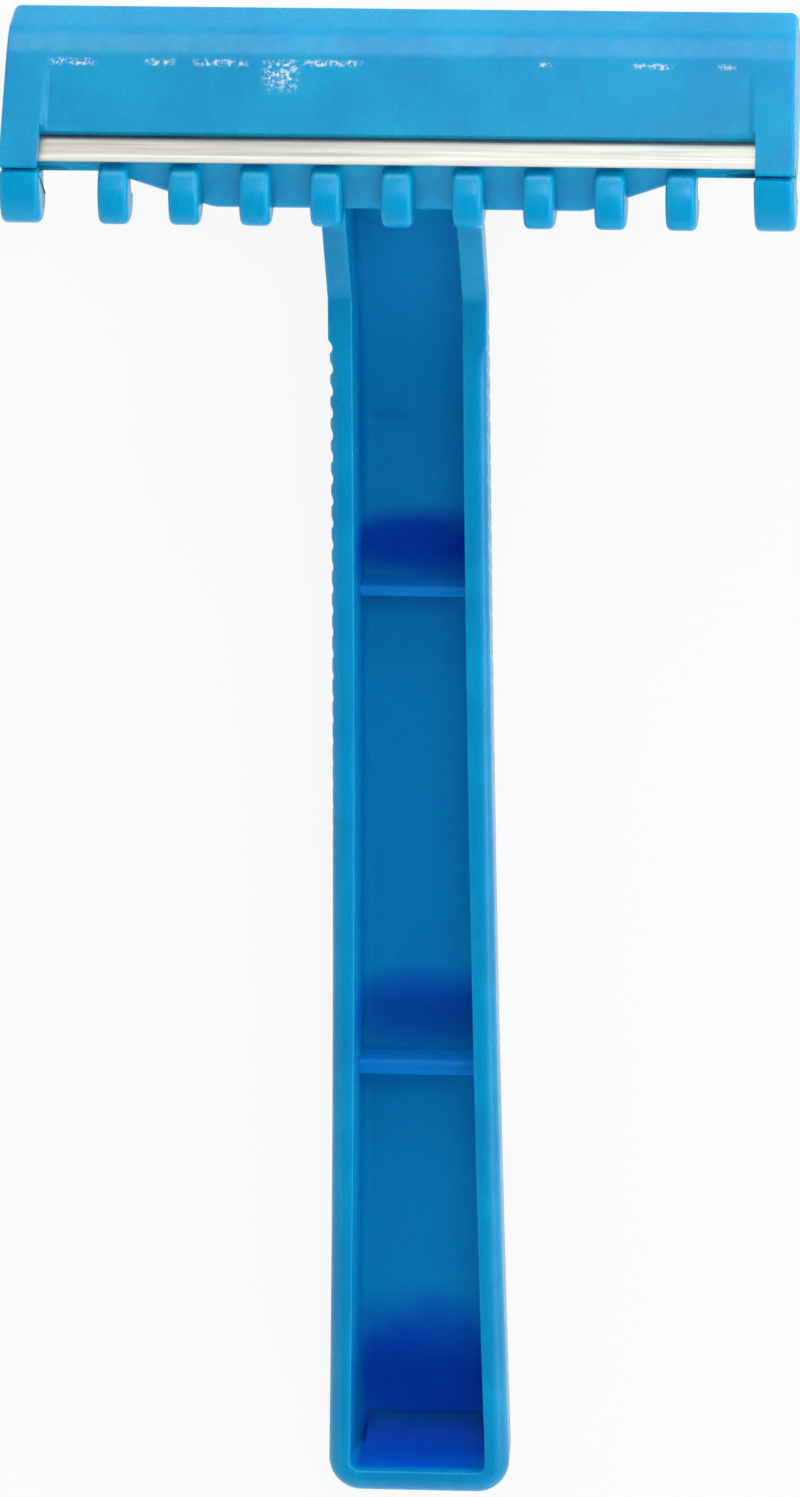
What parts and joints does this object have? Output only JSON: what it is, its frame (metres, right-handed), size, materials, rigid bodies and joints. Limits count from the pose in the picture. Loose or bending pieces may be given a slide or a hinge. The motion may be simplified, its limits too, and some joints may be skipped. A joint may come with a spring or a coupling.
{
  "type": "disposable razor",
  "caption": "Single-edge disposable safety razor: T-shaped head with a comb guard, clamped steel blade, and a hollow moulded handle with cross ribs and grip grooves.",
  "frame": {"origin": "centre of the bounding box in plan, on the plane of the handle's flat back, on which the razor rests", "axes": "+X along the blade, +Y from the foot of the handle to the head, +Z out of the shaving side"},
  "size_m": [0.042, 0.0818, 0.0122],
  "materials": {
    "handle": "bright blue moulded polystyrene, gloss, slightly translucent",
    "blade": "satin strip with a ground edge",
    "blade_cap": "the same bright blue plastic as the handle, gloss"
  },
  "bodies": {
    "root": {"handle": "handle", "blade": "blade", "blade_cap": "blade_cap"}
  },
  "joints": []
}
